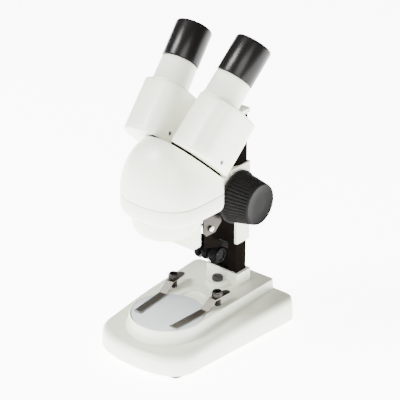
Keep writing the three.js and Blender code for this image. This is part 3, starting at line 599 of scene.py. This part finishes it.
def make_knob(side, sign):
    low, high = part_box(f"focus_knob_{side}")
    inner, outer = sorted(abs(x) / MM for x in (low[0], high[0]))
    ribs = 42
    rim, flange = 17.5, 22.6

    def ribbed(t, r, z):
        if not inner + 2.3 < z < outer - 1.0 or r < 15:
            return r
        wave = 0.5 + 0.5 * math.cos(ribs * t)
        return r - 0.95 * wave**2.2

    grip = []
    for i in range(13):
        z = inner + 2.5 + (outer - 3.9 - inner) * i / 12
        grip.append((flange - 1.0 + (rim + 0.2 - flange + 1.0) * i / 12, z))
    profile = [
        (0, outer - 4), (2.65, outer - 4), (2.65, inner), (flange - 0.5, inner),
        (flange, inner + 0.5), (flange, inner + 1.7), (flange - 0.4, inner + 2.1),
        (flange - 1.1, inner + 2.3)
    ]
    profile += grip
    profile += [
        (rim, outer - 0.95), (rim - 0.2, outer - 0.4), (rim - 0.6, outer - 0.08), (rim - 0.9, outer),
        (rim - 1.3, outer - 0.1), (rim - 1.6, outer - 0.45), (rim - 1.8, outer - 0.6),
        (6, outer - 0.75), (0, outer - 0.75)
    ]
    knob = turned(f"focus_grip_{side}", profile, ribs * 8, ribbed)
    turn = Matrix.Rotation(sign * math.pi / 2, 4, "Y")
    pivot = joint("focus_turn")["pos_m"]
    place(knob, Matrix.Translation(pivot) @ turn)
    piece(smooth(knob, 38), "focus_drive", KNOB_GREY, "black_plastic", f"focus_knob_{side}")


# ------------------------------------------------------------------ head

HEAD_Y, HEAD_HALF, HEAD_DEPTH, HEAD_REAR, HEAD_POWER = -77.4, 36.6, 32.4, -47.5, 2.4
HEAD_BOTTOM, SEAM, DOME_HEIGHT = 123.4, 140.0, 50.0
SHROUD_BOTTOM = 108.0
GUARD_SLOT = (-18.3, 18.3, -66.3, -55.3)  # the guard's outline with its gap: two x, then two y
SPLAY = 5  # degrees between each optical tube and the middle plane
PIVOT_OUT, PIVOT_BACK = 2.2, 17  # from an eye tube's axis, outward and back, to its housing's swing axis


def head_outline(inset, scale=1.0):
    w = HEAD_HALF * scale - inset
    corner = max(1.2, min(5, w * 0.3) - inset * 0.5)
    return front_rounded(
        lambda y: w, HEAD_REAR - inset, corner, HEAD_Y, HEAD_Y - HEAD_DEPTH * scale + inset,
        HEAD_POWER, 40
    )


def make_head_band():
    z = HEAD_BOTTOM
    skin = [
        (7.4, z), (5.6, z + 0.08), (4.0, z + 0.5), (2.7, z + 1.2), (1.7, z + 2.1), (0.9, z + 3.3),
        (0.35, z + 4.8), (0.05, z + 6.6), (0, z + 8)
    ]
    skin += [(0, SEAM - 1.1), (0.15, SEAM - 0.75), (0.5, SEAM - 0.5)]
    band = loft("head_band", [level(head_outline(i), h) for i, h in skin])
    inside = [(5.4, z + 2.4), (2.4, z + 7.5), (2.4, SEAM + 2)]
    hollow = loft("band_hollow", [level(head_outline(i), h) for i, h in inside])
    combine(band, hollow, "DIFFERENCE")
    for sign in (-1, 1):
        hole = turned("hole", [(0, 60), (5.7, 60), (5.7, 110), (0, 110)], 48)
        tilt = Matrix.Rotation(math.radians(sign * SPLAY), 4, "Y")
        place(hole, Matrix.Translation((0, HEAD_Y * MM, PLATFORM_TOP * MM)) @ tilt)
        combine(band, hole, "DIFFERENCE")
    place(band, TO_COLUMN)
    piece(smooth(band, 40), "carriage", WHITE, "white_shell", "head_lower_shell")


def optics_frame(sign):
    """The frame of one eye tube: Z up the tube, its origin under the housing."""
    side = "right" if sign > 0 else "left"
    j = joint(f"prism_turn_{side}")
    axis = Vector(j["axis"])
    splay = math.asin(axis.x)
    lean = math.atan2(axis.y, axis.z)
    turn = Matrix.Rotation(-lean, 4, "X") @ Matrix.Rotation(splay, 4, "Y")
    to_tube = Matrix.Translation((-sign * PIVOT_OUT * MM, -PIVOT_BACK * MM, 0))
    return Matrix.Translation(j["pos_m"]) @ turn @ to_tube


def dome_rings(inset, steps=30):
    """Level rings up the dome, from its seam to its crown."""
    rings = []
    for i in range(steps + 1):
        h = 47.8 * math.sin(math.pi / 2 * i / steps)
        scale = math.sqrt(1 - (h / DOME_HEIGHT) ** 2)
        rings.append(level(head_outline(inset, scale), SEAM + 0.5 + h))
    return rings


def make_dome():
    rings = dome_rings(0)
    edge = [level(head_outline(0.5), SEAM + 0.05), level(head_outline(0.12), SEAM + 0.22)]
    dome = place(loft("dome_skin", edge + rings), TO_COLUMN)
    bm = bmesh.new()
    bm.from_mesh(dome.data)
    for sign in (-1, 1):
        m = optics_frame(sign)
        normal = (m.to_3x3() @ Vector((0, 0, 1))).normalized()
        spot = m @ Vector((0, 0, -0.6 * MM))
        cut = bmesh.ops.bisect_plane(
            bm, geom=bm.verts[:] + bm.edges[:] + bm.faces[:], plane_co=spot, plane_no=normal,
            clear_outer=True
        )
        edges = [e for e in cut["geom_cut"] if isinstance(e, bmesh.types.BMEdge)]
        bmesh.ops.edgeloop_fill(bm, edges=edges)
    bmesh.ops.recalc_face_normals(bm, faces=bm.faces)
    bm.to_mesh(dome.data)
    bm.free()
    dome.name = "head_dome_skin"
    soften(dome, 0.9, 5, 24)
    piece(dome, "carriage", WHITE, "white_shell", "head_dome")


def make_shroud():
    z, top = SHROUD_BOTTOM, HEAD_BOTTOM - GAP
    profile = [
        (21.6, z + 0.2), (22.2, z), (23.3, z + 0.15), (24.3, z + 0.65), (25.4, z + 1.5),
        (26.3, z + 2.8), (27.1, z + 4.6), (27.6, z + 6.6), (27.9, z + 9), (28, top), (26, top),
        (25.4, top - 8), (22, z + 1)
    ]
    shroud = turned("objective_cup", profile, 128)
    place(shroud, Matrix.Translation((0, HEAD_Y * MM, 0)))
    cut = loft("cut", [level(rounded_rectangle(*GUARD_SLOT, 2.3), z) for z in (60, 150)])
    combine(shroud, cut, "DIFFERENCE")
    place(shroud, TO_COLUMN)
    piece(smooth(shroud, 40), "carriage", WHITE, "white_shell", "objective_shroud")


# ------------------------------------------------------------------ prism housings, tubes, eyepieces


HOUSING_HEIGHT, TUBE_TOP = 47.5, 68.7
EYEPIECE_BOTTOM, EYEPIECE_TOP, EYEPIECE_RADIUS = 69.0, 100.7, 15.4
GRUB_SPOTS = {"left": (17.4, 1, 9.5), "right": (21.6, 12, 7)}


def housing_plan(sign, inset, steps=72):
    """A soft rectangle round the tube's axis, its longer end behind the tube and its outer side wider."""
    inner, outer, front, back, power = 18, 22.2, 15.6, 37.2, 3.2
    half_width, half_depth = (inner + outer) / 2 - inset, (front + back) / 2 - inset
    middle = (sign * (outer - inner) / 2, (back - front) / 2)
    points = []
    for i in range(steps):
        c, s = math.cos(TAU * i / steps), math.sin(TAU * i / steps)
        x = half_width * math.copysign(abs(c) ** (2 / power), c)
        y = half_depth * math.copysign(abs(s) ** (2 / power), s)
        points.append((middle[0] + x, middle[1] + y))
    return points


def make_gap_shade_plate(side, sign):
    """A black plate in the gap between the dome and a prism housing: painted shade standing in for the
    shadow in that gap.
    """
    seat = loft(f"gap_shade_plate_{side}", [level(housing_plan(sign, 1.0), z) for z in (-0.2, 1.8)])
    place(seat, optics_frame(sign))
    core = place(loft("gap_shade_core", dome_rings(1.4)), TO_COLUMN)
    combine(seat, core, "INTERSECT")
    # black plate as painted shade in the gap under the housing
    piece(smooth(seat), f"prism_box_{side}", BLACK_ENAMEL, "black_paint")


def make_optics(side, sign):
    matrix = optics_frame(sign)
    body = f"prism_box_{side}"
    h = HOUSING_HEIGHT
    skin = [(2.0, 1.5), (1.3, 1.6), (0.75, 1.8), (0.32, 2.05), (0.08, 2.25), (0, 2.4)]
    skin += [(0.6 * i / 8, 2.4 + (h - 4.2) * i / 8) for i in range(1, 9)]
    skin += [(0.72, h - 1.0), (1.05, h - 0.42), (1.55, h - 0.1), (2.1, h)]
    shell = loft(f"prism_box_shell_{side}", [level(housing_plan(sign, i), z) for i, z in skin])
    grub_hole = turned("grub_hole", [(0, -3), (1.9, -3), (1.9, 3), (0, 3)], 32)
    spot = GRUB_SPOTS[side]
    sideways = Matrix.Rotation(math.pi / 2, 4, "Y")
    turn = Matrix.Translation(Vector(spot) * MM) @ sideways
    combine(shell, place(grub_hole, turn), "DIFFERENCE")
    place(shell, matrix)
    piece(smooth(shell, 36), body, WHITE, "white_shell", f"prism_housing_{side}")
    # black plate in the gap under the housing, painted shade
    make_gap_shade_plate(side, sign)

    grub = turned(f"grub_{side}", [(0, -1), (1.75, -1), (1.75, 0.9), (1.6, 1.1), (0, 1.1)], 32)
    combine(grub, turned("hex", [(0, 0.2), (0.85, 0.2), (0.85, 2), (0, 2)], 6), "DIFFERENCE")
    inset = Matrix.Translation(Vector((spot[0] - 0.9, spot[1], spot[2])) * MM) @ sideways
    place(grub, matrix @ inset)
    piece(smooth(grub), body, SCREW_STEEL, "steel", f"grub_screw_{side}")

    z, top = h - GAP, TUBE_TOP
    profile = [
        (12.9, z), (15.6, z), (15.6, z + 0.5), (15.6, z + 1.0), (15.45, z + 1.35), (15.3, z + 1.6),
        (15.0, top - 3), (14.75, top - 0.5), (14.5, top - 0.15), (14.1, top), (12.9, top)
    ]
    tube = place(turned(f"eye_tube_sleeve_{side}", profile, 128), matrix)
    piece(smooth(tube), body, WHITE, "white_shell", f"eye_tube_{side}")

    bottom, top, r = EYEPIECE_BOTTOM, EYEPIECE_TOP, EYEPIECE_RADIUS
    profile = [
        (12.5, 54), (12.5, bottom), (r - 0.5, bottom), (r - 0.15, bottom + 0.15), (r, bottom + 0.5),
        (r, top - 2.2), (r - 0.12, top - 1.5), (r - 0.45, top - 0.8), (r - 0.9, top - 0.3),
        (r - 1.5, top), (12.9, top - 0.15), (12.3, top - 0.7), (11.9, top - 1.6), (11.4, top - 1.8),
        (11.3, top - 2.9), (10.8, top - 3.1), (10.7, top - 4.2), (10.3, top - 4.5), (10.3, 54)
    ]
    eyepiece = place(turned(f"eyepiece_barrel_{side}", profile, 144), matrix)
    piece(smooth(eyepiece, 30), f"eyepiece_{side}", EYEPIECE_BLACK, "eyepiece_black", f"eyepiece_{side}")

    z, r = top - 11, 10.0
    dome = [
        (r * math.sin(t), z + 3.2 + 3.0 * math.cos(t)) for t in (math.pi / 2 * k / 10 for k in range(11))
    ]
    profile = [(0, z)] + [(r * k / 6, z + 1.0 * (k / 6) ** 2) for k in range(1, 7)] + list(reversed(dome))
    lens = place(turned(f"eye_glass_{side}", profile, 96), matrix)
    piece(smooth(lens, 50), f"eyepiece_{side}", LENS, "lens", f"eye_lens_{side}")


# ------------------------------------------------------------------ lamp


def make_lamp():
    middle = centre_of("lamp_drum")
    low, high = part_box("lamp_drum")
    left, right = low[0] / MM, high[0] / MM
    fins = 3
    step = (right - left) / fins
    profile = [(0, left + 0.9), (4.6, left + 0.9), (4.8, left), (6.4, left), (7.0, left + 0.2)]
    for i in range(fins):
        x = left + i * step
        profile += [
            (7.6, x + 0.6), (7.92, x + 1.2), (8, x + 1.9), (8, x + step - 3.6), (7.9, x + step - 3.1),
            (7.6, x + step - 2.7), (6.9, x + step - 2.4)
        ]
        if i < fins - 1:
            profile += [
                (5.2, x + step - 2.2), (5.0, x + step - 1.9), (5.0, x + step - 0.7),
                (5.2, x + step - 0.3), (6.8, x + step)
            ]
    profile += [
        (6.3, right - 2.0), (6.1, right - 1.6), (6.1, right), (5.2, right), (5.0, right - 0.9),
        (0, right - 0.9)
    ]
    drum = turned("lamp_heat_sink", profile, 72)
    place(drum, Matrix.Rotation(math.pi / 2, 4, "Y"))
    pocket = block("pocket", (-8.3, -12, -3.3), (8.3, -4.9, 3.3))
    place(pocket, Matrix.Rotation(math.radians(58), 4, "X"))
    combine(drum, pocket, "DIFFERENCE")
    place(drum, Matrix.Translation((0, middle.y, middle.z)))
    piece(soften(drum, 0.12, 2, 40), "lamp", LAMP_BLACK, "black_plastic", "lamp_drum")


def make_pivot_screw():
    middle = centre_of("lamp_pivot_screw")
    profile = [
        (0, -13.6), (1.35, -13.6), (1.6, -13.3), (1.6, 12.6), (2.3, 12.6), (2.6, 12.8), (2.6, 13.6),
        (2.3, 14.2), (1.7, 14.5), (0, 14.6)
    ]
    screw = turned("lamp_screw", profile, 48)
    combine(screw, block("slot", (-3, -0.3, 13.9), (3, 0.3, 15)), "DIFFERENCE")
    turn = Matrix.Translation((0, middle.y, middle.z)) @ Matrix.Rotation(math.pi / 2, 4, "Y")
    piece(smooth(place(screw, turn)), "carriage", BRIGHT_STEEL, "steel", "lamp_pivot_screw")


# ------------------------------------------------------------------ CAD nodes that keep their shape

KEPT = {
    "column": (BLACK_ENAMEL, 0.5),
    "rack": (LAMP_BLACK, 0),
    "column_cap": (WHITE, 0.5),
    "column_bolt": (BRIGHT_STEEL, 0.3),
    "carriage_sleeve": (ENAMEL, 0.45),
    "pinion_plate": (BLACK_ENAMEL, 0.4),
    "focus_shaft": (BRIGHT_STEEL, 0.2),
    "focus_pinion": (BRASS, 0),
    "head_arm": (WHITE, 0.8),
    "objective_guard": (WHITE, 0.7),
    "objective_barrel_left": (ANODISED, 0.2),
    "objective_barrel_right": (ANODISED, 0.2),
    "objective_lens_left": (LENS, 0.1),
    "objective_lens_right": (LENS, 0.1),
    "prism_left": (LENS, 0.2),
    "prism_right": (LENS, 0.2),
    "clip_strip_left": (BRUSHED, 0.18),
    "clip_strip_right": (BRUSHED, 0.18),
    "base_bottom_cover": (UNDERSIDE_GREY, 0.3),
    "battery_cover": (UNDERSIDE_GREY, 0.3),
    "cover_screw_1": (BRIGHT_STEEL, 0.15),
    "cover_screw_2": (BRIGHT_STEEL, 0.15),
    "cover_screw_3": (BRIGHT_STEEL, 0.15),
    "cover_screw_4": (BRIGHT_STEEL, 0.15),
    "battery_1": (CELL_WRAP, 0.3),
    "battery_2": (CELL_WRAP, 0.3),
    "battery_contact_left": (BRASS, 0.15),
    "battery_contact_right": (BRASS, 0.15),
    "switch_body": (KNOB_GREY, 0.4),
    "lamp_bracket": (BRACKET_STEEL, 0.3),
    "lamp_yoke": (BLACK_ENAMEL, 0.25),
    "lamp_window": (WINDOW, 0.15),
}


def dress_kept_nodes():
    for name, (material, width) in KEPT.items():
        node = frame["nodes"][name]
        node.data.materials.clear()
        node.data.materials.append(material)
        if not width:
            continue
        bevel = node.modifiers.new("edges", "BEVEL")
        bevel.width = width * MM
        bevel.segments = 3
        bevel.limit_method = "ANGLE"
        bevel.angle_limit = math.radians(34)
        bevel.harden_normals = True


# ------------------------------------------------------------------ floor, light, camera


def make_studio():
    """A glowing white floor, with soft panels at the front left, at the front right and above."""
    bpy.ops.mesh.primitive_plane_add(size=8, location=(0, 0, -0.0004))
    floor = bpy.context.object
    floor.name = "floor"
    paper = finish_material("floor_paper", (0.93, 0.93, 0.93), 0.8, grain=300, mottling=0.004)
    shader = paper.node_tree.nodes["Principled BSDF"]
    shader.inputs["Emission Color"].default_value = (1, 1, 1, 1)
    shader.inputs["Emission Strength"].default_value = 9.0
    floor.data.materials.append(paper)
    world = bpy.data.worlds.new("studio")
    world.use_nodes = True
    world.node_tree.nodes["Background"].inputs["Color"].default_value = (1, 1, 1, 1)
    world.node_tree.nodes["Background"].inputs["Strength"].default_value = 0.2
    bpy.context.scene.world = world
    target = Vector((0, -0.01, 0.13))
    panels = [
        ("key", (-0.68, -0.95, 1.22), 0.45, 46.0),
        ("fill", (1.1, -1.1, 1.0), 0.9, 28.0),
        ("top", (-0.2, 0.0, 1.5), 1.0, 4.0),
    ]
    for name, spot, size, power in panels:
        light = bpy.data.lights.new(name, "AREA")
        light.size = size
        light.energy = power
        obj = bpy.data.objects.new(name, light)
        obj.location = spot
        obj.rotation_euler = (target - Vector(spot)).to_track_quat("-Z", "Y").to_euler()
        bpy.context.scene.collection.objects.link(obj)


CAMERA_BEARING, CAMERA_DIP = math.radians(40.17), math.radians(25.93)
CAMERA_LENS = 144.55
CAMERA_FROM_COLUMN = (755.5, -931.7, 687.5)


def make_camera():
    """A long lens, well to the front right of the stand and above it, held without roll."""
    bearing, dip = CAMERA_BEARING, CAMERA_DIP
    right = Vector((math.cos(bearing), math.sin(bearing), 0))
    ahead = Vector((-math.sin(bearing), math.cos(bearing), 0))
    forward = ahead * math.cos(dip) - Vector((0, 0, 1)) * math.sin(dip)
    up = right.cross(forward)
    camera = bpy.data.cameras.new("camera")
    camera.sensor_width = 36
    camera.lens = CAMERA_LENS
    camera.clip_end = 20
    obj = bpy.data.objects.new("camera", camera)
    spot = COLUMN + Vector(CAMERA_FROM_COLUMN) * MM
    turn = Matrix((right, up, -forward)).transposed().to_4x4()
    obj.matrix_world = Matrix.Translation(spot) @ turn
    bpy.context.scene.collection.objects.link(obj)
    bpy.context.scene.camera = obj


make_camera()
make_base()
make_stage_plate()
for SIDE, SIGN in (("left", -1), ("right", 1)):
    make_clip_screw(SIDE)
    make_clip_spring(SIDE)
    make_knob(SIDE, SIGN)
    make_optics(SIDE, SIGN)
make_switch()
make_feet()
make_head_band()
make_dome()
make_shroud()
make_lamp()
make_pivot_screw()
dress_kept_nodes()
make_studio()
